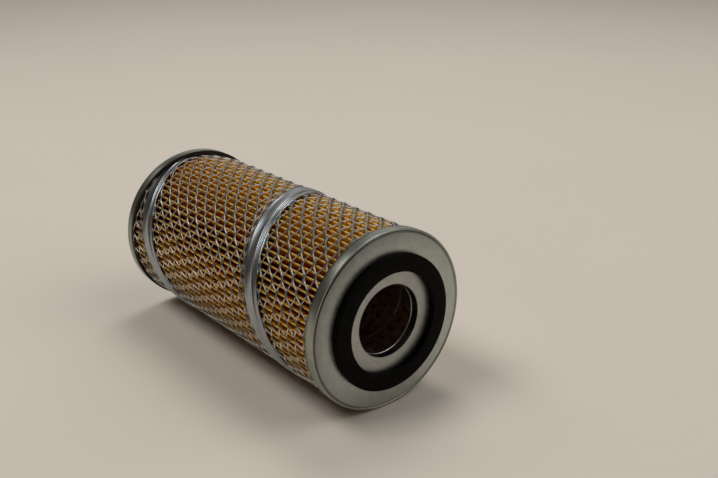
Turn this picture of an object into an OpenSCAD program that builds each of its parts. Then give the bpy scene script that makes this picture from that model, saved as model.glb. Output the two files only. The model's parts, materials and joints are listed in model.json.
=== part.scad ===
// Oil filter element of the cartridge kind, lying on its side.
// A pleated paper pack stands between two pressed end caps, inside an
// expanded-metal wrap and round a perforated centre tube.
//
// Frame: the filter's axis runs along Y, with the near end cap at -Y, and +Z is up.
// The origin is on the surface that the element lies on, under its middle.
// Every sub-part is drawn round a local Z axis, with the near cap's face at z = 0,
// and module lay() turns it into that frame.

/* [Element] */
// Length over the faces of the two end caps, without the gaskets
body_len = 167; // [120:1:220]
// Outside diameter of both end caps
cap_od = 84; // [83.8:0.2:90]
// Diameter of the bore through both end caps
bore_d = 33.4; // [28:0.2:33.8]

/* [End caps] */
// Thickness of the pressed sheet
sheet_t = 0.5; // [0.4:0.05:0.6]
// Depth of the rim that is turned down over the wrap
rim_depth = 5.2; // [4:0.2:8]
// Outer radius of the bends from the face to the rim and the collar
cap_bend = 1.2; // [0.8:0.1:1.6]
// Depth of the collar that is turned down round the bore
collar_depth = 4.6; // [3:0.2:6]

/* [Gaskets] */
// Outside diameter of the rubber rings
gasket_od = 63.4; // [60:0.2:70]
// Inside diameter of the rubber rings
gasket_id = 47.6; // [42:0.2:52]
// Thickness of the rubber rings
gasket_t = 3.2; // [2:0.2:5]
// Rounding of the edges on the sealing side
gasket_round = 0.9; // [0.3:0.1:1.2]

/* [Outer wrap] */
// Outside diameter of the expanded-metal wrap
wrap_od = 82; // [80:0.2:82]
// Thickness of the wrap
wrap_t = 0.7; // [0.5:0.1:0.8]
// Distance along the axis between two turns of the wrap's lock seam
wrap_pitch = 98.5; // [80:0.5:120]
// Distance from the near face to the seam's ridge, on the top line
wrap_seam_at = 67.8; // [40:0.2:90]
// Height of the folded ridge over the wrap
wrap_ridge_h = 0.45; // [0.2:0.05:0.45]

/* [Paper pack] */
// Number of pleats round the pack
pleats = 82; // [60:1:90]
// Diameter over the pleat tips
pleat_od = 79.6; // [76:0.2:79.6]
// Diameter inside the pleat valleys
pleat_id = 38.2; // [38:0.2:44]
// Thickness of the paper
paper_t = 0.42; // [0.3:0.02:0.5]

/* [Centre tube] */
// Inside diameter of the perforated tube
tube_id = 35.6; // [35.4:0.1:36.2]
// Thickness of the tube's strip
tube_t = 0.6; // [0.4:0.1:0.8]
// Distance along the axis between two turns of the tube's lock seam
tube_pitch = 32; // [28:1:40]
// Diameter of the perforations
hole_d = 2.6; // [2:0.1:4]
// Perforations in each turn of a row
holes_per_turn = 20; // [10:1:24]

/* [Hidden] */

$fn = 96;
eps = 0.01;            // how far a cutting shape passes the face that it cuts

cap_r = cap_od / 2;
bore_r = bore_d / 2;
inner_bend = cap_bend - sheet_t;

// The adhesive beds fill the two caps, and everything between stands on them.
bed_t = 2.6;
pack_lo = sheet_t + bed_t;
pack_hi = body_len - pack_lo;
pack_len = pack_hi - pack_lo;

wrap_r = wrap_od / 2;
tube_r = tube_id / 2;

// Lock seam of the wrap, as [distance along the axis from the ridge, height]:
// a low lap on the near side, the ridge, a shallow trough, and a lip on the far side.
wrap_seam_section = [[-3.3, 0], [-3.1, 0.13], [-0.7, 0.13], [-0.2, wrap_ridge_h],
                     [0.2, wrap_ridge_h], [1.2, wrap_ridge_h / 2], [4.2, wrap_ridge_h / 2],
                     [5.3, wrap_ridge_h - 0.05], [5.9, wrap_ridge_h - 0.05], [6.25, 0]];
// Lock seam of the centre tube, a flat fold on the inside of the wall
tube_seam_h = 0.4;
tube_seam_section = [[-1.6, 0], [1.6, 0], [1.4, -tube_seam_h], [-1.4, -tube_seam_h]];
tube_seam_at = 6.6;    // the fold's distance from the near face, on the top line
hole_rows = 4;         // rows of perforations between two turns of the seam
hole_row_gap = 6.6;

// Seam clip: a folded strip over one pleat, on the side that faces down
clip_t = 0.4;
clip_depth = 7;
clip_gap = 1.16;       // inside the fold, over the two layers of paper
clip_angle = 215;      // from the top line, towards +X

tip_r = pleat_od / 2;
valley_r = pleat_id / 2;
pleat_step = 360 / pleats;

// Turns a sub-part from its own axis into the frame
module lay()
    translate([0, -body_len / 2, cap_r]) rotate([-90, 0, 0]) children();

// The same sub-part at the far end, facing the other way
module at_far_end()
    translate([0, 0, body_len]) mirror([0, 0, 1]) children();

// The local angle of a direction given from the top line towards +X
function from_top(a) = a - 90;

// A quarter of a ring, in the quadrant given by the signs of its offsets
module quarter_ring(r, t, sx, sy)
    intersection() {
        difference() {
            circle(r = r);
            circle(r = r - t);
        }
        translate([sx > 0 ? 0 : -r, sy > 0 ? 0 : -r]) square(r);
    }

// One end cap: a flat face, a rim outside and a collar inside, with round bends
module end_cap()
    rotate_extrude() {
        translate([bore_r + cap_bend, 0])
            square([cap_r - bore_r - 2 * cap_bend, sheet_t]);
        translate([cap_r - cap_bend, cap_bend])
            quarter_ring(cap_bend, sheet_t, 1, -1);
        translate([cap_r - sheet_t, cap_bend])
            square([sheet_t, rim_depth - cap_bend]);
        translate([bore_r + cap_bend, cap_bend])
            quarter_ring(cap_bend, sheet_t, -1, -1);
        translate([bore_r, cap_bend])
            square([sheet_t, collar_depth - cap_bend]);
    }

// A bar of w by h, with the two corners on its lower side rounded
module soft_bar(w, h, r) {
    translate([r, 0]) square([w - 2 * r, h]);
    translate([0, r]) square([w, h - r]);
    for (x = [r, w - r]) translate([x, r]) circle(r = r);
}

// A rubber ring, bonded flat to the outside of an end cap
module gasket()
    rotate_extrude() translate([gasket_id / 2, -gasket_t])
        soft_bar((gasket_od - gasket_id) / 2, gasket_t, gasket_round);

// The bed of adhesive inside an end cap
module adhesive_bed()
    rotate_extrude() translate([bore_r + sheet_t, sheet_t])
        soft_bar(cap_r - bore_r - 2 * sheet_t, bed_t, inner_bend);

// A plain tube from z = lo to z = hi
module tube(r_out, r_in, lo, hi)
    translate([0, 0, lo]) difference() {
        cylinder(h = hi - lo, r = r_out);
        translate([0, 0, -eps]) cylinder(h = hi - lo + 2 * eps, r = r_in);
    }

// Points of one turn position: the section at angle a, on radius r
function seam_ring(section, r, z, a) =
    [for (p = section) [(r + p[1]) * cos(a), (r + p[1]) * sin(a), z + p[0]]];

// A strip of constant section that climbs round the axis by pitch in each turn.
// at_top is its z on the top line, and it is cut square to the axis at lo and hi.
module helical_strip(section, r, pitch, at_top, lo, hi, steps) {
    reach = max([for (p = section) abs(p[0])]) + 1;
    first = floor((lo - reach - at_top) / pitch * steps);
    last = ceil((hi + reach - at_top) / pitch * steps);
    n = len(section);
    rings = [for (i = [first:last])
        seam_ring(section, r, at_top + pitch * i / steps, from_top(360 * i / steps))];
    count = len(rings);
    sides = [for (k = [0:count - 2], j = [0:n - 1])
        let (a = k * n + j, b = k * n + (j + 1) % n) each [[a, a + n, b], [b, a + n, b + n]]];
    ends = [[for (j = [0:n - 1]) j],
            [for (j = [n - 1:-1:0]) (count - 1) * n + j]];
    intersection() {
        polyhedron(points = [for (ring = rings) each ring], faces = concat(sides, ends));
        translate([0, 0, lo]) cylinder(h = hi - lo, r = r + 5);
    }
}

// The folded sheet's outline on its outer side: three points on each tip, one in each valley
function paper_outside() = [for (i = [0:pleats - 1])
    let (a = i * pleat_step, r = pleat_tip(i), w = asin(paper_t / r))
    each [polar(r - 0.25, a - w), polar(r, a), polar(r - 0.25, a + w),
          polar(valley_r + paper_t, a + pleat_step / 2)]];

// The outline on the side of the centre tube: one point in each tip, two on each valley
function paper_inside() = [for (i = [0:pleats - 1])
    let (a = i * pleat_step, w = pleat_step / 2 - asin(paper_t / valley_r))
    each [polar(pleat_tip(i) - 2 * paper_t, a), polar(valley_r, a + w),
          polar(valley_r, a + pleat_step - w)]];

function polar(r, a) = [r * cos(a), r * sin(a)];

// The first pleat ends lower, under the seam clip
function pleat_tip(i) = i == 0 ? tip_r - clip_t : tip_r;

// Places the first pleat, and the clip over it
module at_clip() rotate([0, 0, from_top(clip_angle)]) children();

module near_end_cap() color([0.62, 0.62, 0.60]) lay() end_cap();

module far_end_cap() color([0.62, 0.62, 0.60]) lay() at_far_end() end_cap();

module near_gasket() color([0.05, 0.05, 0.05]) lay() gasket();

module far_gasket() color([0.05, 0.05, 0.05]) lay() at_far_end() gasket();

module near_adhesive() color([0.30, 0.22, 0.16]) lay() adhesive_bed();

module far_adhesive() color([0.30, 0.22, 0.16]) lay() at_far_end() adhesive_bed();

// The expanded metal as a plain closed tube of its own thickness
module outer_wrap() color([0.66, 0.67, 0.66])
    lay() tube(wrap_r, wrap_r - wrap_t, pack_lo, pack_hi);

module outer_wrap_seam() color([0.70, 0.71, 0.71]) lay()
    helical_strip(wrap_seam_section, wrap_r, wrap_pitch, wrap_seam_at, pack_lo, pack_hi, 60);

module pleated_paper() color([0.80, 0.45, 0.10])
    lay() at_clip() translate([0, 0, pack_lo]) linear_extrude(pack_len) difference() {
        polygon(paper_outside());
        polygon(paper_inside());
    }

module paper_seam_clip() color([0.60, 0.60, 0.60])
    lay() at_clip() translate([tip_r - clip_depth, 0, pack_lo]) difference() {
        translate([0, -clip_gap / 2 - clip_t, 0])
            cube([clip_depth, clip_gap + 2 * clip_t, pack_len]);
        translate([-eps, -clip_gap / 2, -eps])
            cube([clip_depth - clip_t + eps, clip_gap, pack_len + 2 * eps]);
    }

// The perforations run in rows that climb with the seam, half a gap clear of it
module perforations() {
    turn = 360 / holes_per_turn;
    first_row = (tube_pitch - (hole_rows - 1) * hole_row_gap) / 2;
    last_hole = floor(pack_hi / tube_pitch * holes_per_turn);
    for (row = [0:hole_rows - 1], i = [-holes_per_turn:last_hole]) {
        shift = row % 2 == 0 ? 0 : 0.5;
        z = tube_seam_at + first_row + row * hole_row_gap
            + tube_pitch * (i + shift) / holes_per_turn;
        if (z > pack_lo + 2 * hole_d && z < pack_hi - 2 * hole_d)
            translate([0, 0, z]) rotate([0, 90, from_top((i + shift) * turn)])
                translate([0, 0, tube_r - 2]) cylinder(h = tube_t + 4, d = hole_d, $fn = 32);
    }
}

module centre_tube() color([0.45, 0.45, 0.44])
    lay() difference() {
        tube(tube_r + tube_t, tube_r, pack_lo, pack_hi);
        perforations();
    }

module centre_tube_seam() color([0.50, 0.50, 0.49]) lay()
    helical_strip(tube_seam_section, tube_r, tube_pitch, tube_seam_at,
                  collar_depth + 1, body_len - collar_depth - 1, 48);

near_end_cap();
far_end_cap();
near_gasket();
far_gasket();
near_adhesive();
far_adhesive();
outer_wrap();
outer_wrap_seam();
pleated_paper();
paper_seam_clip();
centre_tube();
centre_tube_seam();
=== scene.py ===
import json
import math

import bmesh
import bpy
import numpy as np
from mathutils import Matrix, Vector, noise


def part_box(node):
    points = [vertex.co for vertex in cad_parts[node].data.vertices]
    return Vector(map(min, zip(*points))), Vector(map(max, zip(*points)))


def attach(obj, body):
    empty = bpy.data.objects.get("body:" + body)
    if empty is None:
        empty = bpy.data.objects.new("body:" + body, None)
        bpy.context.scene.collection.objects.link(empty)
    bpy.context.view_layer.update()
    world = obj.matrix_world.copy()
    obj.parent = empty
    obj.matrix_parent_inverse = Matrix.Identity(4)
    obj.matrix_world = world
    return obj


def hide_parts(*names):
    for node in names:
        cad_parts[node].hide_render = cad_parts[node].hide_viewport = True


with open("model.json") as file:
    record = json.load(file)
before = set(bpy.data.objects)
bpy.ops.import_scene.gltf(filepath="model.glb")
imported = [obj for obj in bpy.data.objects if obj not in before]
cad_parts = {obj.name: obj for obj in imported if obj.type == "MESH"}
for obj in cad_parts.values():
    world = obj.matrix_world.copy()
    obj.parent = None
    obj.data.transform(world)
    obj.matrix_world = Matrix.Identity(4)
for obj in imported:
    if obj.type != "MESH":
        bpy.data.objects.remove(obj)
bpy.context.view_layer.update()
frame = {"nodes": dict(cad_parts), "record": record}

MM = 0.001

# ---------------------------------------------------------------- sizes from the frame
# The filter's axis runs along Y at height AXIS_Z. A place on the element is given by its
# angle from the top line towards +X, its distance from the near cap's face, and its radius.

CAP_LOW, CAP_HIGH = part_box("near_end_cap")
FAR_LOW, FAR_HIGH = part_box("far_end_cap")
AXIS_Z = (CAP_LOW[2] + CAP_HIGH[2]) / 2
NEAR_Y = CAP_LOW[1]
BODY_LENGTH = FAR_HIGH[1] - NEAR_Y
CAP_RADIUS = (CAP_HIGH[0] - CAP_LOW[0]) / 2
RIM_DEPTH = CAP_HIGH[1] - CAP_LOW[1]
BORE_RADIUS = frame["record"]["mounts"][0]["dims"]["r_mm"] * MM

GASKET_LOW, GASKET_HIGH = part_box("near_gasket")
GASKET_RADIUS = (GASKET_HIGH[0] - GASKET_LOW[0]) / 2
GASKET_THICKNESS = NEAR_Y - GASKET_LOW[1]

WRAP_LOW, WRAP_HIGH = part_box("outer_wrap")
WRAP_RADIUS = (WRAP_HIGH[0] - WRAP_LOW[0]) / 2
PACK_START = WRAP_LOW[1] - NEAR_Y
PACK_END = WRAP_HIGH[1] - NEAR_Y

TUBE_LOW, TUBE_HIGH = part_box("centre_tube")
TUBE_RADIUS = (TUBE_HIGH[0] - TUBE_LOW[0]) / 2

# ---------------------------------------------------------------- sizes the frame does not hold
SHEET = 0.5 * MM             # of the end caps
RIM_BEND = 0.35 * MM
BORE_BEND = 0.15 * MM
COLLAR_DEPTH = 4.6 * MM
COLLAR_BEAD = 0.45 * MM      # radius of the bead that ends the bore's collar
CAP_WOBBLE = 0.05 * MM       # unevenness of the pressed sheet
WOBBLE_SCALE = 45.0          # per metre: the unevenness is some 20 mm from hill to hill
GROOVE_DEPTH = 0.30 * MM     # of the coined line just inside the cap's outer bend
GROOVE_WIDTH = 0.25 * MM
GROOVE_RADIUS = CAP_RADIUS - 1.15 * MM

GASKET_INNER_RADIUS = 23.8 * MM
RING_CRISP_EDGE = 0.25 * MM  # rounding of the rubber rings' inner edge
RING_SOFT_EDGE = 0.7 * MM    # and of their outer edge
RING_WOBBLE = 0.04 * MM
RING_SHIFT = (0.26 * MM, 0.0, -0.31 * MM)   # the near ring is bonded a little off centre

SEAM_PITCH = 98.5 * MM       # along the axis, between two turns of the wrap's lock seam
SEAM_AT = 67.8 * MM          # the ridge's distance from the near face, on the top line
SEAM_FAR_SIDE = 6.8 * MM     # from the ridge to the first bonds, across the strip
SEAM_NEAR_SIDE = 1.8 * MM
STRAND_WIDTH = 0.86 * MM     # at the bonds
LEG_WIDTH = 0.70 * MM        # midway between two bonds
STRAND_THICKNESS = 0.46 * MM
STRAND_TILT = math.radians(-25)
OPENING_LENGTH = 13.0 * MM   # expanded metal, bond to bond along the strip
OPENING_WIDTH = 6.65 * MM    # bond to bond across the strip
BOND_LENGTH = 2.2 * MM
BOND_JITTER = np.array([0.10, 0.05, 0.22]) * MM   # of a bond across the strip, in height and along it
JITTERED_BONDS = 97          # bonds of a row that have a jitter of their own before it repeats
MESH_RADIUS = WRAP_RADIUS - 0.55 * MM

STRIP_ANGLE = math.atan(SEAM_PITCH / (2 * math.pi * MESH_RADIUS))
STRIP_WIDTH = SEAM_PITCH * math.cos(STRIP_ANGLE)
STRIP_START = SEAM_AT * math.cos(STRIP_ANGLE)

DRAW_IN = 1.5 * MM           # how far the pack is drawn in at the far cap, at most
DRAW_IN_START = 143 * MM
DRAW_IN_LENGTH = 19 * MM
DRAW_IN_ANGLE = math.radians(10)   # where round the filter it is deepest

PLEATS = 82
PLEAT_TIP = 39.75 * MM
PLEAT_VALLEY = 19.1 * MM
PLEAT_STEP = 2 * math.pi / PLEATS
PLEAT_BOW = 0.026            # angle by which the walls bow to one side and then to the other
BOW_GROWS_OVER = 6           # pleats on either side of the clip over which that grows from none
CLIP_ANGLE = math.radians(215)     # where the pleat under the seam clip is
CLIPPED_TIP = 0.4 * MM       # how much lower that pleat's fold is
PAPER = 0.30 * MM
FOLD_ROUND = 0.40 * MM       # outer radius of the folds at the pleat tips

# How the folds drift to the sides and how they sink: the size (an angle, or a distance), the
# waves along the filter in radians per metre, and their shift from one pleat to the next.
FOLD_DRIFTS = ((0.0022, 61, 2.4), (0.0016, 140, 5.1))
FOLD_SINK = (0.16 * MM, 83, 3.7)

TUBE_SEAM_PITCH = 32 * MM
TUBE_SEAM_AT = 6.6 * MM
TUBE_SEAM_MARGIN = 1 * MM    # from the end of either collar to the end of the tube's seam
TUBE_WALL = 0.6 * MM

# ---------------------------------------------------------------- the picture
CAMERA_AZIMUTH = math.radians(-39.32)   # from -Y, turned towards +X
CAMERA_ELEVATION = math.radians(20.88)
CAMERA_AIM = (22.9 * MM, -34.8 * MM, 60.4 * MM)
CAMERA_DISTANCE = 440 * MM
CAMERA_LENS = 45.69          # mm, for a sensor 36 mm wide
CAMERA_SENSOR = 36

NEUTRAL = (1.0, 0.99, 0.97)
WARM = (1.0, 0.98, 0.95)
SOFTBOXES = (                # name, azimuth, elevation, distance, width and height, watts, colour
    ("right", 135, 60, 2.0, (0.8, 0.8), 8.6, NEUTRAL),
    ("left", 247, 60, 2.0, (0.8, 0.8), 12.4, NEUTRAL),
    ("back_left", 204, 47, 2.0, (0.5, 0.5), 1.7, NEUTRAL),
    ("front", 45, 46, 2.0, (1.7, 1.7), 11.2, WARM),
    ("back", 141, 18, 2.5, (3.0, 1.0), 5.0, NEUTRAL))
WORLD_COLOUR = (0.80, 0.78, 0.75, 1.0)
WORLD_STRENGTH = 0.02

FLOOR_SIDES = 96
FLOOR_REACH = 5.5            # metres from the element to the wall
FLOOR_BEND = 2.5
WALL_HEIGHT = 4.0

rng = np.random.RandomState(11)


# ---------------------------------------------------------------- mesh helpers
def place(angle, along, radius):
    """World positions of places on the element, each given as arrays that broadcast."""
    angle, along, radius = np.broadcast_arrays(angle, along, radius)
    return np.stack([radius * np.sin(angle), NEAR_Y + along,
                     AXIS_Z + radius * np.cos(angle)], axis=-1)


def draw_in(angle, along):
    """How far the pack is drawn in under the far cap's rim, which shows as a gap at the top."""
    under_rim = np.clip((along - DRAW_IN_START) / DRAW_IN_LENGTH, 0, 1)
    upper = np.clip(np.cos(angle - DRAW_IN_ANGLE), 0, 1) ** 0.6
    return DRAW_IN * under_rim ** 2 * upper


def place_pack(angle, along, radius):
    """As place, but drawn in as the pack is at its far end."""
    return place(angle, along, radius - draw_in(angle, along))


def make_object(name, points, faces, material, smooth_angle=40, layout=None):
    """A mesh object from arrays, smooth where neighbouring faces meet at a small angle. The
    layout gives each point a place, in metres, on the flat strip that it was made from."""
    mesh = bpy.data.meshes.new(name)
    mesh.from_pydata(points.reshape(-1, 3).tolist(), [], [list(map(int, f)) for f in faces])
    if layout is not None:
        corners = np.empty(len(mesh.loops), dtype=np.int32)
        mesh.loops.foreach_get("vertex_index", corners)
        places = layout.reshape(-1, 2)[corners].ravel()
        mesh.uv_layers.new(name="strip").data.foreach_set("uv", places)
    mesh.validate()
    mesh.materials.append(material)
    mesh.shade_smooth()
    mesh.set_sharp_from_angle(angle=math.radians(smooth_angle))
    piece = bpy.data.objects.new(name, mesh)
    bpy.context.collection.objects.link(piece)
    return piece


def grid_faces(rows, columns, wrap_rows=False, wrap_columns=True, first=0):
    """Quads that join a grid of points, row by row."""
    row_count = rows if wrap_rows else rows - 1
    column_count = columns if wrap_columns else columns - 1
    i, j = np.meshgrid(np.arange(row_count), np.arange(column_count), indexing="ij")
    i2, j2 = (i + 1) % rows, (j + 1) % columns
    quads = [i * columns + j, i * columns + j2, i2 * columns + j2, i2 * columns + j]
    return np.stack(quads, axis=-1).reshape(-1, 4) + first


def arc(center, radius, start, end, steps):
    """Points on an arc in a section plane, with angles in degrees."""
    turn = np.radians(np.linspace(start, end, steps + 1))
    return [(center[0] + radius * math.cos(a), center[1] + radius * math.sin(a)) for a in turn]


def roughly(points, scale, seed):
    """Smooth noise between about -1 and 1 at each point, for slight unevenness."""
    shift = Vector((seed * 3.1, seed * 1.7, seed * 2.3))
    return np.array([noise.noise(Vector(p) * scale + shift) for p in points.reshape(-1, 3)])


def lathe(name, section, material, wobble, seed, segments=288):
    """A closed section of (radius, distance from the near face), turned round the axis. The
    wobble makes the surface that much uneven."""
    section = np.array(section)
    angles = np.linspace(0, 2 * math.pi, segments, endpoint=False)
    radius = np.repeat(section[None, :, 0], segments, axis=0)
    along = np.repeat(section[None, :, 1], segments, axis=0)
    uneven = roughly(place(angles[:, None], along, radius), WOBBLE_SCALE, seed).reshape(radius.shape)
    points = place(angles[:, None], along + wobble * uneven, radius - wobble * abs(uneven))
    return make_object(name, points, grid_faces(segments, len(section), wrap_rows=True), material)


def register(piece, slot, *nodes):
    """A finished piece rides on the only body and stands for its CAD nodes."""
    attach(piece, "root")
    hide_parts(*nodes)
    return piece


def at_far_end(section):
    """A section for the near end, turned round to face the other way."""
    return [(r, BODY_LENGTH - s) for r, s in reversed(section)]


# ---------------------------------------------------------------- materials
class Nodes:
    """A new node material, with short calls for the nodes that these materials use."""

    def __init__(self, name):
        self.material = bpy.data.materials.new(name)
        self.material.use_nodes = True
        self.tree = self.material.node_tree
        self.shader = self.tree.nodes["Principled BSDF"]
        self.coordinates = self.tree.nodes.new("ShaderNodeTexCoord")
        self.place = self.coordinates.outputs["Object"]

    def link(self, output, socket):
        self.tree.links.new(output, socket)

    def set(self, **values):
        """Uniform values, on the shader's own sockets."""
        for key, value in values.items():
            self.shader.inputs[key.replace("_", " ")].default_value = value
        return self

    def on_strip(self):
        """Textures from here on follow the flat strip, along it and across it."""
        self.place = self.coordinates.outputs["UV"]
        return self

    def noise(self, scale, detail, stretch=None, rough=0.5):
        node = self.tree.nodes.new("ShaderNodeTexNoise")
        node.inputs["Scale"].default_value = scale
        node.inputs["Detail"].default_value = detail
        node.inputs["Roughness"].default_value = rough
        place = self.place
        if stretch:
            mapping = self.tree.nodes.new("ShaderNodeMapping")
            mapping.inputs["Scale"].default_value = stretch
            self.link(place, mapping.inputs["Vector"])
            place = mapping.outputs["Vector"]
        self.link(place, node.inputs["Vector"])
        return node.outputs["Fac"]

    def spread(self, value, low, high, to_low, to_high):
        """A value that goes from to_low to to_high while the input goes from low to high."""
        node = self.tree.nodes.new("ShaderNodeMapRange")
        node.inputs["From Min"].default_value = low
        node.inputs["From Max"].default_value = high
        node.inputs["To Min"].default_value = to_low
        node.inputs["To Max"].default_value = to_high
        self.link(value, node.inputs["Value"])
        return node.outputs["Result"]

    def ramp(self, value, *stops):
        """Colours by value: each stop is (position, colour)."""
        node = self.tree.nodes.new("ShaderNodeValToRGB")
        elements = node.color_ramp.elements
        while len(elements) < len(stops):
            elements.new(0.5)
        for element, (position, colour) in zip(elements, stops):
            element.position = position
            element.color = (*colour, 1.0)
        self.link(value, node.inputs["Fac"])
        return node.outputs["Color"]

    def mix(self, factor, first, second, blend="MIX"):
        node = self.tree.nodes.new("ShaderNodeMix")
        node.data_type = "RGBA"
        node.blend_type = blend
        for socket, value in zip((node.inputs["Factor"], node.inputs["A"], node.inputs["B"]),
                                 (factor, first, second)):
            if isinstance(value, (int, float)):
                socket.default_value = value
            elif isinstance(value, tuple):
                socket.default_value = (*value, 1.0)
            else:
                self.link(value, socket)
        return node.outputs["Result"]

    def bump(self, height, distance, strength):
        node = self.tree.nodes.new("ShaderNodeBump")
        node.inputs["Strength"].default_value = strength
        node.inputs["Distance"].default_value = distance
        self.link(height, node.inputs["Height"])
        self.link(node.outputs["Normal"], self.shader.inputs["Normal"])

    def part(self, vector, axis):
        """One part of a vector: X, Y or Z."""
        node = self.tree.nodes.new("ShaderNodeSeparateXYZ")
        self.link(vector, node.inputs["Vector"])
        return node.outputs[axis]

    def calculate(self, operation, value, second=None):
        node = self.tree.nodes.new("ShaderNodeMath")
        node.operation = operation
        self.link(value, node.inputs[0])
        if second is not None:
            node.inputs[1].default_value = second
        return node.outputs["Value"]

    def vector_math(self, operation, vector):
        node = self.tree.nodes.new("ShaderNodeVectorMath")
        node.operation = operation
        self.link(vector, node.inputs[0])
        return node

    def from_axis(self):
        """The way from the filter's axis, square to it, to a shading point, in metres."""
        join = self.tree.nodes.new("ShaderNodeCombineXYZ")
        self.link(self.part(self.place, "X"), join.inputs["X"])
        self.link(self.calculate("SUBTRACT", self.part(self.place, "Z"), AXIS_Z), join.inputs["Z"])
        return join.outputs["Vector"]

    def radius_from_axis(self):
        return self.vector_math("LENGTH", self.from_axis()).outputs["Value"]

    def upper_left(self):
        """1 towards the side that is up and at -X of the axis, and 0 on the other side."""
        unit = self.vector_math("NORMALIZE", self.from_axis()).outputs["Vector"]
        lean = self.vector_math("DOT_PRODUCT", unit)
        lean.inputs[1].default_value = (-math.sqrt(0.5), 0.0, math.sqrt(0.5))
        return self.spread(lean.outputs["Value"], -0.6, 1.0, 0.0, 1.0)

    def near_rim_edge(self):
        """1 at the free edge of either cap's rim, and 0 from 1.6 mm away from it."""
        from_middle = self.calculate("ABSOLUTE", self.part(self.place, "Y"))
        edge = BODY_LENGTH / 2 - RIM_DEPTH
        return self.spread(from_middle, edge + 0.3 * MM, edge + 1.6 * MM, 1.0, 0.0)

    def near_bond(self):
        """1 at the bonds of the expanded metal, and 0 midway between them."""
        run = self.part(self.coordinates.outputs["UV"], "X")
        turn = self.calculate("MULTIPLY", run, 2 * math.pi / (OPENING_LENGTH / 2))
        return self.spread(self.calculate("COSINE", turn), -0.5, 0.5, 0.0, 1.0)

    def colour(self, output):
        self.link(output, self.shader.inputs["Base Color"])

    def roughness(self, output):
        self.link(output, self.shader.inputs["Roughness"])


def zinc_sheet():
    """Satin zinc plating on pressed sheet: mottled, with faint rolling streaks. It is darker
    towards the rim on its upper left, painted shade darkens the coined line, the collar and the
    rim's free edge, a painted highlight brightens the collar's bead, and the drawn rim is smoother."""
    n = Nodes("zinc_sheet").set(Metallic=1.0)
    radius = n.radius_from_axis()
    drawn = n.spread(radius, GROOVE_RADIUS + 0.35 * MM, GROOVE_RADIUS + 0.65 * MM, 0.0, 1.0)
    mottle = n.noise(330, 4, rough=0.6)
    streaks = n.noise(900, 3, stretch=(1.0, 1.0, 0.08))
    tone = n.ramp(mottle, (0.30, (0.415, 0.43, 0.405)), (0.70, (0.50, 0.52, 0.49)))
    tone = n.mix(n.spread(streaks, 0.35, 0.75, 0.0, 0.3), tone, (0.53, 0.55, 0.52))
    n.colour(n.mix(1.0, tone, zinc_tone_and_painted_light(n, radius, drawn), "MULTIPLY"))
    satin = n.spread(n.noise(520, 3), 0.3, 0.7, 0.32, 0.46)
    n.roughness(n.mix(drawn, satin, (0.34, 0.34, 0.34)))
    n.bump(n.noise(1500, 3), 0.00004, 0.35)
    return n.material


def zinc_tone_and_painted_light(n, radius, drawn):
    """What the zinc's own colour is multiplied by: a little darker inside the rubber ring, painted
    shade in the collar with a painted highlight on its bead, darker towards the rim on the upper
    left, painted shade in the coined line and at the rim's free edge, and the drawn rim's own tone."""
    clean, inside_ring_tone = (1.0, 1.0, 1.0), (0.83, 0.82, 0.83)
    # painted shade darkens the bore's collar, and a painted highlight brightens the bead that ends it
    painted_collar_shade, painted_bead_highlight = (0.24, 0.24, 0.27), (1.8, 1.8, 1.8)
    # darker towards the rim on the upper left; painted shade in the coined line, deepest on the upper
    # left
    upper_left_darkening, painted_groove_shade, painted_groove_deep_shade = (0.42, 0.425, 0.44), (0.60, 0.60, 0.58), (0.15, 0.15, 0.14)
    # the drawn rim's own tone, and painted shade at the rim's free edge
    rim_film, painted_rim_edge_shade = (0.71, 0.725, 0.68), (0.24, 0.24, 0.22)
    upper_left_side = n.upper_left()
    inside = n.spread(radius, GASKET_INNER_RADIUS, GASKET_INNER_RADIUS + 0.3 * MM, 1.0, 0.0)
    collar = n.spread(radius, BORE_RADIUS + 0.2 * MM, BORE_RADIUS + 0.6 * MM, 1.0, 0.0)
    bead = n.spread(radius, BORE_RADIUS + 0.14 * MM, BORE_RADIUS + 0.18 * MM, 1.0, 0.0)
    outwards = n.spread(radius, GASKET_RADIUS + 0.5 * MM, GROOVE_RADIUS, 0.0, 1.0)
    in_groove = n.spread(radius, GROOVE_RADIUS - 0.95 * MM, GROOVE_RADIUS - 0.35 * MM, 0.0, 1.0)
    # a little darker inside the rubber ring
    tone_and_shade = n.mix(inside, clean, inside_ring_tone)
    # painted shade in the collar, painted highlight on its bead
    tone_and_shade = n.mix(collar, tone_and_shade, n.mix(bead, painted_collar_shade, painted_bead_highlight))
    # darker towards the rim on the upper left
    tone_and_shade = n.mix(upper_left_side, tone_and_shade, n.mix(outwards, clean, upper_left_darkening), "MULTIPLY")
    # painted shade in the coined line, deepest on the upper left
    tone_and_shade = n.mix(in_groove, tone_and_shade, n.mix(upper_left_side, painted_groove_shade, painted_groove_deep_shade))
    # painted shade at the rim's free edge
    return n.mix(drawn, tone_and_shade, n.mix(n.near_rim_edge(), rim_film, painted_rim_edge_shade))


def moulded_rubber():
    """Matt black rubber with a fine moulded grain and a trace of dust."""
    n = Nodes("moulded_rubber").set(Specular_IOR_Level=0.05)
    dust = n.spread(n.noise(420, 5), 0.45, 0.8, 0.0, 1.0)
    n.colour(n.mix(dust, (0.0015, 0.0015, 0.0013), (0.005, 0.0048, 0.004)))
    n.roughness(n.spread(n.noise(700, 2), 0.3, 0.7, 0.50, 0.64))
    n.bump(n.noise(2600, 2), 0.00005, 0.4)
    return n.material


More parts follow.
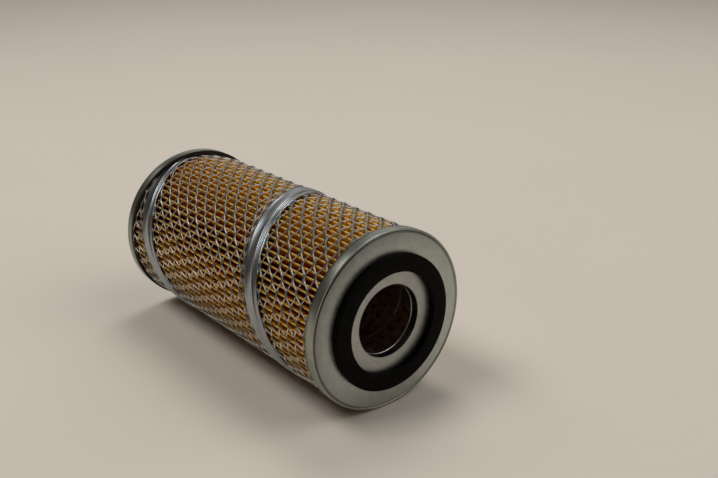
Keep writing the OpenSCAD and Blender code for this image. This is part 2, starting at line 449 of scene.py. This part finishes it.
def strand_zinc():
    """Galvanised faces of the strands: a cool zinc tint, darkened at the bonds by a painted dark
    reflection, and paler between them.
    """
    n = Nodes("strand_zinc").set(Metallic=1.0)
    patches = n.noise(330, 4, rough=0.6)
    # painted dark reflection: the bonds are darkened, over the zinc's cool tint
    at_bond = n.ramp(patches, (0.30, (0.21, 0.26, 0.29)), (0.70, (0.40, 0.46, 0.48)))
    between = n.ramp(patches, (0.30, (0.36, 0.37, 0.36)), (0.70, (0.62, 0.58, 0.54)))
    n.colour(n.mix(n.near_bond(), between, at_bond))
    n.roughness(n.spread(n.noise(650, 2), 0.3, 0.7, 0.28, 0.46))
    n.bump(n.noise(1800, 2), 0.00003, 0.3)
    return n.material


def strand_cut_edge():
    """The strands' slit edges: brighter and warmer than the zinc, with a painted dark reflection at the
    bonds.
    """
    n = Nodes("strand_cut_edge").set(Metallic=1.0)
    bare = n.ramp(n.noise(600, 2), (0.3, (0.54, 0.50, 0.46)), (0.7, (0.88, 0.83, 0.76)))
    # painted dark reflection at the bonds
    n.colour(n.mix(n.near_bond(), bare, (0.27, 0.31, 0.33)))
    n.roughness(n.spread(n.noise(900, 2), 0.3, 0.7, 0.44, 0.60))
    return n.material


def folded_zinc():
    """The lock seam: burnished along its length by the rollers that closed it."""
    n = Nodes("folded_zinc").set(Metallic=1.0).on_strip()
    streaks = n.noise(700, 2, stretch=(0.02, 1.4, 1.0))
    patches = n.noise(120, 3, stretch=(0.5, 1.0, 1.0))
    tone = n.ramp(streaks, (0.30, (0.27, 0.30, 0.32)), (0.72, (0.42, 0.445, 0.46)))
    n.colour(n.mix(n.spread(patches, 0.4, 0.75, 0.0, 0.5), tone, (0.52, 0.52, 0.51)))
    n.roughness(n.spread(patches, 0.3, 0.7, 0.27, 0.35))
    return n.material


def pleat_paper():
    """Resin-treated paper: pale pressed fibres along the fold tips with a painted highlight on them,
    deep amber between them, and painted shade at the valley floors.
    """
    n = Nodes("pleat_paper").set(Specular_IOR_Level=0.2, Subsurface_Weight=0.55)
    n.set(Subsurface_Scale=0.0022, Subsurface_Radius=(1.0, 0.4, 0.08))
    depth = n.spread(n.radius_from_axis(), PLEAT_VALLEY, PLEAT_TIP, 0.0, 1.0)
    shade, amber, deep_amber = (0.20, 0.06, 0.010), (0.78, 0.20, 0.012), (0.60, 0.17, 0.007)
    # the fold crests are pressed fibres that are paler, brightened further by a painted highlight
    shoulder, fold, pressed_and_lit_fold = (0.62, 0.26, 0.014), (0.70, 0.42, 0.05), (0.78, 0.60, 0.20)
    tone = n.ramp(depth, (0.0, shade), (0.06, amber), (0.80, deep_amber),
                  (0.96, shoulder), (0.982, fold), (0.994, pressed_and_lit_fold))
    fibres = n.noise(900, 4, stretch=(1.0, 0.35, 1.0))
    n.colour(n.mix(n.spread(fibres, 0.3, 0.75, 0.0, 0.3), tone, (0.66, 0.22, 0.010)))
    n.roughness(n.spread(fibres, 0.3, 0.7, 0.55, 0.75))
    n.bump(n.noise(1600, 4), 0.00008, 0.5)
    return n.material


def cured_plastisol():
    """The adhesive that the pack stands in."""
    n = Nodes("cured_plastisol").set(Specular_IOR_Level=0.4)
    n.colour(n.ramp(n.noise(260, 3), (0.3, (0.05, 0.035, 0.025)), (0.7, (0.10, 0.07, 0.05))))
    n.roughness(n.spread(n.noise(500, 2), 0.3, 0.7, 0.45, 0.65))
    n.bump(n.noise(400, 3), 0.0003, 0.5)
    return n.material


def oiled_steel():
    """The centre tube's strip: dull steel with a film of oil."""
    n = Nodes("oiled_steel").set(Metallic=1.0)
    n.colour(n.ramp(n.noise(300, 4), (0.3, (0.38, 0.27, 0.21)), (0.7, (0.56, 0.43, 0.36))))
    n.roughness(n.spread(n.noise(450, 3), 0.3, 0.7, 0.28, 0.48))
    n.bump(n.noise(900, 3), 0.00006, 0.4)
    return n.material


def plain_floor():
    """The pale floor, a little uneven in tone."""
    n = Nodes("floor").set(Specular_IOR_Level=0.2)
    n.colour(n.ramp(n.noise(3, 2), (0.3, (0.825, 0.755, 0.662)), (0.7, (0.845, 0.773, 0.679))))
    n.roughness(n.spread(n.noise(60, 2), 0.3, 0.7, 0.75, 0.9))
    return n.material


# ---------------------------------------------------------------- pieces
def cap_section():
    """An end cap's closed section: face, bends, rim and bore collar, drawn at the near end."""
    bead_low = BORE_RADIUS + COLLAR_BEAD
    wall = bead_low - SHEET / 2
    turn = math.degrees(math.acos(SHEET / 2 / COLLAR_BEAD))
    outer_bend = (CAP_RADIUS - RIM_BEND, RIM_BEND)
    bore_bend = (wall + BORE_BEND, BORE_BEND)
    rim_lip = arc((CAP_RADIUS - SHEET / 2, RIM_DEPTH - SHEET / 2), SHEET / 2, 0, 180, 6)
    bead = arc((bead_low, COLLAR_DEPTH - COLLAR_BEAD), COLLAR_BEAD, -turn, 180 + turn, 12)
    flat = np.concatenate([np.linspace(bore_bend[0], GROOVE_RADIUS - 0.8 * MM, 20)[1:],
                           np.linspace(GROOVE_RADIUS - 0.7 * MM, outer_bend[0], 24)[:-1]])
    face = [(r, GROOVE_DEPTH * math.exp(-((r - GROOVE_RADIUS) / GROOVE_WIDTH) ** 2)) for r in flat]
    outside = arc(bore_bend, BORE_BEND, 180, 270, 10) + face + arc(outer_bend, RIM_BEND, -90, 0, 10)
    inside = [(CAP_RADIUS - SHEET, SHEET), (wall + SHEET, SHEET)]
    return outside + rim_lip + inside + bead


def gasket_section():
    """A rubber ring with rounded edges on its sealing side, flat where it is bonded."""
    inner, outer, face = GASKET_INNER_RADIUS, GASKET_RADIUS, -GASKET_THICKNESS
    crisp, soft = RING_CRISP_EDGE, RING_SOFT_EDGE
    inner_edge = arc((inner + crisp, face + crisp), crisp, 180, 270, 8)
    outer_edge = arc((outer - soft, face + soft), soft, 270, 360, 8)
    return inner_edge + outer_edge + [(outer, 0.0), (inner, 0.0)]


def add_caps_and_gaskets(zinc, rubber):
    for end, turned, seed in (("near", list, 1), ("far", at_far_end, 7)):
        cap = lathe(end + "_cap_shell", turned(cap_section()), zinc, CAP_WOBBLE, seed)
        register(cap, "zinc_cap", end + "_end_cap")
        ring = lathe(end + "_rubber_ring", turned(gasket_section()), rubber, RING_WOBBLE, seed + 2)
        if end == "near":
            ring.data.transform(Matrix.Translation(RING_SHIFT))
        register(ring, "gasket_rubber", end + "_gasket")


def strip_places(run, across, height):
    """Positions and directions on the wound strip, from the run along it, the distance across
    it and the height over the mesh's middle."""
    arc_length = run * math.cos(STRIP_ANGLE) - across * math.sin(STRIP_ANGLE)
    along = run * math.sin(STRIP_ANGLE) + across * math.cos(STRIP_ANGLE)
    angle = arc_length / MESH_RADIUS
    points = place_pack(angle, along, MESH_RADIUS + height)
    zero = np.zeros_like(angle)
    outward = np.stack([np.sin(angle), zero, np.cos(angle)], -1)
    round_it = np.stack([np.cos(angle), zero, -np.sin(angle)], -1)
    across_it = np.array([0, 1, 0]) * math.cos(STRIP_ANGLE) - round_it * math.sin(STRIP_ANGLE)
    return points, outward, across_it


def bond_rows():
    """Distances across the strip of the rows of bonds. The rows next to the lock seam are
    squeezed together, as its rollers leave them."""
    half = OPENING_WIDTH / 2
    start = STRIP_START + SEAM_FAR_SIDE
    room = STRIP_WIDTH - SEAM_FAR_SIDE - SEAM_NEAR_SIDE
    squeezed = [0.36, 0.42, 0.62]
    eased = [0.85, 0.6]
    middle = int(round(room / half - sum(squeezed) - sum(eased)))
    steps = np.array(squeezed + [1.0] * middle + eased)
    return start + np.concatenate([[0], np.cumsum(steps)]) * room / steps.sum()


def strand_bonds(row, rows, jitter):
    """The bonds of one strand, on one row and on the next by turns: run, across, height."""
    half = OPENING_LENGTH / 2
    low, high = rows[row], rows[row + 1]
    sine, cosine = math.sin(STRIP_ANGLE), math.cos(STRIP_ANGLE)
    first = math.floor((PACK_START - high * cosine) / sine / half)
    last = math.ceil((PACK_END - low * cosine) / sine / half)
    bond = np.arange(first, last + 1)
    on_high = (bond - row) % 2
    shake = jitter[row + on_high, bond % JITTERED_BONDS]
    room = max(high - low - STRAND_WIDTH * math.cos(STRAND_TILT), 0.1 * MM)
    across = (low + high) / 2 + (on_high - 0.5) * room + shake[:, 0]
    height = (0.5 - on_high) * STRAND_WIDTH * math.sin(STRAND_TILT) + shake[:, 1]
    return bond * half + shake[:, 2], across, height


def strand_path(row, rows, jitter):
    """One zigzag strand, straight along its bonds and slanting between them: run, across, height."""
    flat = BOND_LENGTH / OPENING_LENGTH
    part = np.array([0.0, flat, flat + 0.10, 0.5, 0.90 - flat, 1.0 - flat])
    rise = np.array([0.0, 0.02, 0.13, 0.5, 0.87, 0.98])
    run, across, height = [(bonds[:-1, None] + share * np.diff(bonds)[:, None]).ravel()
                           for bonds, share in zip(strand_bonds(row, rows, jitter), (part, rise, rise))]
    along = run * math.sin(STRIP_ANGLE) + across * math.cos(STRIP_ANGLE)
    kept = (along > PACK_START) & (along < PACK_END)
    return run[kept], across[kept], height[kept]


def ribbon(run, points, outward, across_it):
    """A strand's rectangular section, tilted, swept along its path: four points at each step."""
    tangent = np.gradient(points, axis=0)
    tangent /= np.linalg.norm(tangent, axis=1)[:, None]
    wide = across_it * math.cos(STRAND_TILT) + outward * math.sin(STRAND_TILT)
    wide -= (wide * tangent).sum(1)[:, None] * tangent
    wide /= np.linalg.norm(wide, axis=1)[:, None]
    thick = np.cross(tangent, wide)
    at_bond = (1 + np.cos(2 * math.pi * run / (OPENING_LENGTH / 2))) / 2
    width = LEG_WIDTH + (STRAND_WIDTH - LEG_WIDTH) * at_bond[:, None]
    w, t = wide * width / 2, thick * STRAND_THICKNESS / 2
    return np.stack([points - w - t, points + w - t, points + w + t, points - w + t], axis=1)


def add_wrap(face_material, edge_material):
    """The expanded metal: every strand is a long zigzag, joined to its neighbours at the bonds."""
    rows = bond_rows()
    jitter = rng.normal(size=(len(rows) + 1, JITTERED_BONDS, 3)) * BOND_JITTER
    points, faces, cut_edges, layout, count = [], [], [], [], 0
    for row in range(len(rows) - 1):
        run, across, height = strand_path(row, rows, jitter)
        strand = ribbon(run, *strip_places(run, across, height))
        last = count + 4 * (len(strand) - 1)
        points.append(strand.reshape(-1, 3))
        layout.append(np.repeat(np.stack([run, across], axis=-1), 4, axis=0))
        faces.append(grid_faces(len(strand), 4, first=count))
        faces.append([[count, count + 1, count + 2, count + 3], [last + 3, last + 2, last + 1, last]])
        cut_edges += [np.tile([0, 1, 0, 1], len(strand) - 1), [1, 1]]
        count += 4 * len(strand)
    wrap = make_object("expanded_metal_wrap", np.concatenate(points), np.concatenate(faces),
                       face_material, smooth_angle=35, layout=np.concatenate(layout))
    wrap.data.materials.append(edge_material)
    wrap.data.polygons.foreach_set("material_index", np.concatenate(cut_edges).astype(np.int32))
    return register(wrap, "expanded_zinc", "outer_wrap")


def helical_strip(name, section, radius, pitch, at_top, low, high, material, steps):
    """A strip of constant section, wound round the axis in so many steps a turn, and cut square
    to it at both ends."""
    section = np.array(section)
    reach = abs(section[:, 0]).max() + 1 * MM
    first = math.floor((low - reach - at_top) / pitch * steps)
    last = math.ceil((high + reach - at_top) / pitch * steps)
    angle = 2 * math.pi * (np.arange(first, last + 1) / steps)[:, None]
    along = at_top + pitch * angle / (2 * math.pi) + section[None, :, 0]
    points = place_pack(angle, along, radius + section[None, :, 1])
    layout = np.stack(np.broadcast_arrays(radius * angle, section[None, :, 0]), -1)
    faces = grid_faces(len(angle), len(section))
    piece = make_object(name, points, faces, material, smooth_angle=50, layout=layout)
    cut_square(piece, len(section), low, high)
    return piece


def cut_square(strip, ring, low, high):
    """Closes both ends of a wound strip whose section has ring points, and cuts off what is past
    the two distances from the near face."""
    edit = bmesh.new()
    edit.from_mesh(strip.data)
    corners = list(edit.verts)
    edit.faces.new(corners[:ring])
    edit.faces.new(corners[:-ring - 1:-1])
    for plane, side in ((low, -1), (high, 1)):
        whole = edit.verts[:] + edit.edges[:] + edit.faces[:]
        cut = bmesh.ops.bisect_plane(edit, geom=whole, plane_co=(0, NEAR_Y + plane, 0),
                                     plane_no=(0, side, 0), clear_outer=True)
        rims = [g for g in cut["geom_cut"] if isinstance(g, bmesh.types.BMEdge)]
        bmesh.ops.holes_fill(edit, edges=rims)
    edit.to_mesh(strip.data)
    edit.free()


def in_metres(outline):
    """A seam's section, drawn in mm from its far side, as helical_strip takes it."""
    return [(x * MM, h * MM) for x, h in reversed(outline)]


def wrap_seam_section():
    """The wrap's lock seam: (distance along the axis, height over the wrap)."""
    lap = [(-3.3, -0.5), (-3.3, -0.06), (-3.15, 0.03), (-2.85, 0.06), (-2.55, 0.0), (-1.9, -0.02),
           (-1.7, 0.07), (-1.4, 0.09), (-1.15, 0.0), (-0.75, -0.02)]
    ridge = [(-0.6, 0.10), (-0.42, 0.34), (-0.15, 0.46), (0.15, 0.47), (0.45, 0.40), (0.8, 0.27)]
    trough = [(1.5, 0.17), (2.8, 0.12), (4.0, 0.16), (4.9, 0.26)]
    lip = [(5.35, 0.38), (5.65, 0.42), (5.9, 0.38), (6.1, 0.20), (6.2, -0.05), (6.25, -0.5)]
    return in_metres(lap + ridge + trough + lip)


def tube_seam_section():
    """The centre tube's lock seam: (distance along the axis, height over the tube's inside)."""
    return in_metres([(-1.9, 0.05), (-1.7, -0.06), (-1.2, -0.19), (-0.7, -0.25), (0.2, -0.28),
                      (1.5, -0.28), (1.6, 0.05)])


def add_seams(zinc, steel):
    seam = helical_strip("wrap_lock_seam", wrap_seam_section(), WRAP_RADIUS, SEAM_PITCH, SEAM_AT,
                         PACK_START, PACK_END, zinc, steps=480)
    register(seam, "seam_zinc", "outer_wrap_seam")
    margin = COLLAR_DEPTH + TUBE_SEAM_MARGIN
    inner = helical_strip("tube_lock_seam", tube_seam_section(), TUBE_RADIUS - TUBE_WALL,
                          TUBE_SEAM_PITCH, TUBE_SEAM_AT, margin, BODY_LENGTH - margin, steel, steps=120)
    register(inner, "tube_steel", "centre_tube_seam")


def pleat_outline():
    """The folded sheet's closed outline round the axis, as rows of (angle, radius): the outer
    side of every pleat with a round tip, and the inner side."""
    angles, radii = [], []
    inner_angles, inner_radii = [], []
    thin = PAPER / PLEAT_VALLEY
    for i in range(PLEATS):
        tip = PLEAT_TIP - (CLIPPED_TIP if i == 0 else 0)
        middle = CLIP_ANGLE + i * PLEAT_STEP
        valley = middle + PLEAT_STEP / 2
        for x, radius in arc((0, tip - FOLD_ROUND), FOLD_ROUND, 180, 0, 8):
            angles.append(middle + x / tip)
            radii.append(radius)
        angles.append(valley)
        radii.append(PLEAT_VALLEY + PAPER)
        inner_angles += [middle, valley - thin, valley + thin]
        inner_radii += [tip - FOLD_ROUND - PAPER, PLEAT_VALLEY, PLEAT_VALLEY]
    return fill_walls(angles, radii), fill_walls(inner_angles, inner_radii)


def fill_walls(angles, radii, parts=4, long_wall=5 * MM):
    """A closed outline with extra points on its long walls, so that they can bow."""
    angles = np.append(angles, angles[0] + 2 * math.pi)
    radii = np.append(radii, radii[0])
    counts = np.where(np.abs(np.diff(radii)) > long_wall, parts, 1)
    spots = np.concatenate([i + np.arange(count) / count for i, count in enumerate(counts)])
    index = np.arange(len(radii))
    return np.interp(spots, index, angles), np.interp(spots, index, radii)


def waver(angles, radii, along):
    """The pleats' outline at each distance along the filter: the walls bow, the folds drift to
    the sides and sink a little, each pleat in its own way."""
    depth = np.clip((radii - PLEAT_VALLEY) / (PLEAT_TIP - PLEAT_VALLEY), 0, 1)
    pleat = np.round((angles - CLIP_ANGLE) / PLEAT_STEP) % PLEATS
    from_clip = np.minimum(pleat, PLEATS - pleat)
    bow = PLEAT_BOW * np.sin(2 * math.pi * depth) * np.clip(from_clip / BOW_GROWS_OVER, 0, 1)
    drift = sum(size * np.sin(along * waves + pleat * shift) for size, waves, shift in FOLD_DRIFTS)
    size, waves, shift = FOLD_SINK
    sink = size * (1 + np.sin(along * waves + pleat * shift)) / 2
    return angles + drift * depth + bow, radii - sink * depth


def add_paper(material, rings=34):
    """The pleat pack: one folded sheet, whose folds waver a little along the filter."""
    along = np.linspace(PACK_START, PACK_END, rings)[:, None]
    sides = []
    for angles, radii in pleat_outline():
        angles, radii = waver(angles, radii, along)
        sides.append(place_pack(angles, along, radii))
    outer, inner = sides
    points = np.concatenate([outer.reshape(-1, 3), inner.reshape(-1, 3)])
    outer_faces = grid_faces(rings, outer.shape[1])[:, ::-1]
    inner_faces = grid_faces(rings, inner.shape[1], first=rings * outer.shape[1])
    paper = make_object("folded_paper", points, np.concatenate([outer_faces, inner_faces]), material,
                        smooth_angle=75)
    return register(paper, "filter_paper", "pleated_paper")


def add_floor():
    """A pale floor that curves up into a wall far behind the camera's view, all the way round."""
    start = FLOOR_REACH - FLOOR_BEND
    curve = [(start + FLOOR_BEND * math.sin(t), FLOOR_BEND - FLOOR_BEND * math.cos(t))
             for t in np.linspace(0, math.pi / 2, 13)]
    section = np.array([(0.3, 0.0), (1.2, 0.0)] + curve + [(FLOOR_REACH, WALL_HEIGHT)])
    sides, ring = FLOOR_SIDES, len(section)
    angles = np.linspace(0, 2 * math.pi, sides, endpoint=False)[:, None]
    out, up = section[None, :, 0], np.repeat(section[None, :, 1], sides, axis=0)
    rings = np.stack([out * np.sin(angles), out * np.cos(angles), up], axis=-1)
    points = np.concatenate([rings.reshape(-1, 3), [(0, 0, 0)]])
    faces = [list(f) for f in grid_faces(sides, ring, wrap_rows=True, wrap_columns=False)]
    middle = [[i * ring, (i + 1) % sides * ring, sides * ring] for i in range(sides)]
    floor = make_object("floor", points, faces + middle, plain_floor(), smooth_angle=80)


def away_from(azimuth, elevation):
    """The direction to something at an azimuth from -Y, turned towards +X, and an elevation."""
    level = math.cos(elevation)
    return Vector((math.sin(azimuth) * level, -math.cos(azimuth) * level, math.sin(elevation)))


def facing(direction):
    """The rotation of a lamp or a camera that looks in a direction."""
    return direction.to_track_quat("-Z", "Y").to_euler()


def add_softbox(name, azimuth, elevation, distance, size, power, colour):
    """A soft rectangular lamp that faces the element's middle."""
    light = bpy.data.lights.new(name, "AREA")
    light.shape = "RECTANGLE"
    light.size, light.size_y = size
    light.energy = power
    light.color = colour
    away = away_from(math.radians(azimuth), math.radians(elevation))
    lamp = bpy.data.objects.new(name, light)
    lamp.location = away * distance + Vector((0, 0, AXIS_Z))
    lamp.rotation_euler = facing(-away)
    lamp.visible_camera = False
    bpy.context.collection.objects.link(lamp)


def add_lights():
    """Softboxes high on the right, on the left and behind on the left, a broad fill from the
    front right, and a low one behind the element for the pale wall that the metal's upper side
    mirrors."""
    for softbox in SOFTBOXES:
        add_softbox(*softbox)
    world = bpy.data.worlds.new("studio")
    world.use_nodes = True
    background = world.node_tree.nodes["Background"]
    background.inputs["Color"].default_value = WORLD_COLOUR
    background.inputs["Strength"].default_value = WORLD_STRENGTH
    bpy.context.scene.world = world


def add_camera():
    """The camera, aimed past the element at the azimuth and elevation of the picture."""
    away = away_from(CAMERA_AZIMUTH, CAMERA_ELEVATION)
    data = bpy.data.cameras.new("camera")
    data.sensor_width = CAMERA_SENSOR
    data.lens = CAMERA_LENS
    data.clip_start = 0.01
    camera = bpy.data.objects.new("camera", data)
    camera.location = Vector(CAMERA_AIM) + away * CAMERA_DISTANCE
    camera.rotation_euler = facing(-away)
    bpy.context.collection.objects.link(camera)
    bpy.context.scene.camera = camera


def paint(node, material):
    """Gives a CAD node that keeps its own shape a finished material."""
    mesh = frame["nodes"][node].data
    mesh.materials.clear()
    mesh.materials.append(material)


zinc, rubber, steel = zinc_sheet(), moulded_rubber(), oiled_steel()
add_caps_and_gaskets(zinc, rubber)
add_wrap(strand_zinc(), strand_cut_edge())
add_seams(folded_zinc(), steel)
add_paper(pleat_paper())
plastisol = cured_plastisol()
for node, material in (("near_adhesive", plastisol), ("far_adhesive", plastisol),
                       ("centre_tube", steel), ("paper_seam_clip", zinc)):
    paint(node, material)

add_floor()
add_lights()
add_camera()
bpy.context.scene.view_settings.view_transform = "Standard"
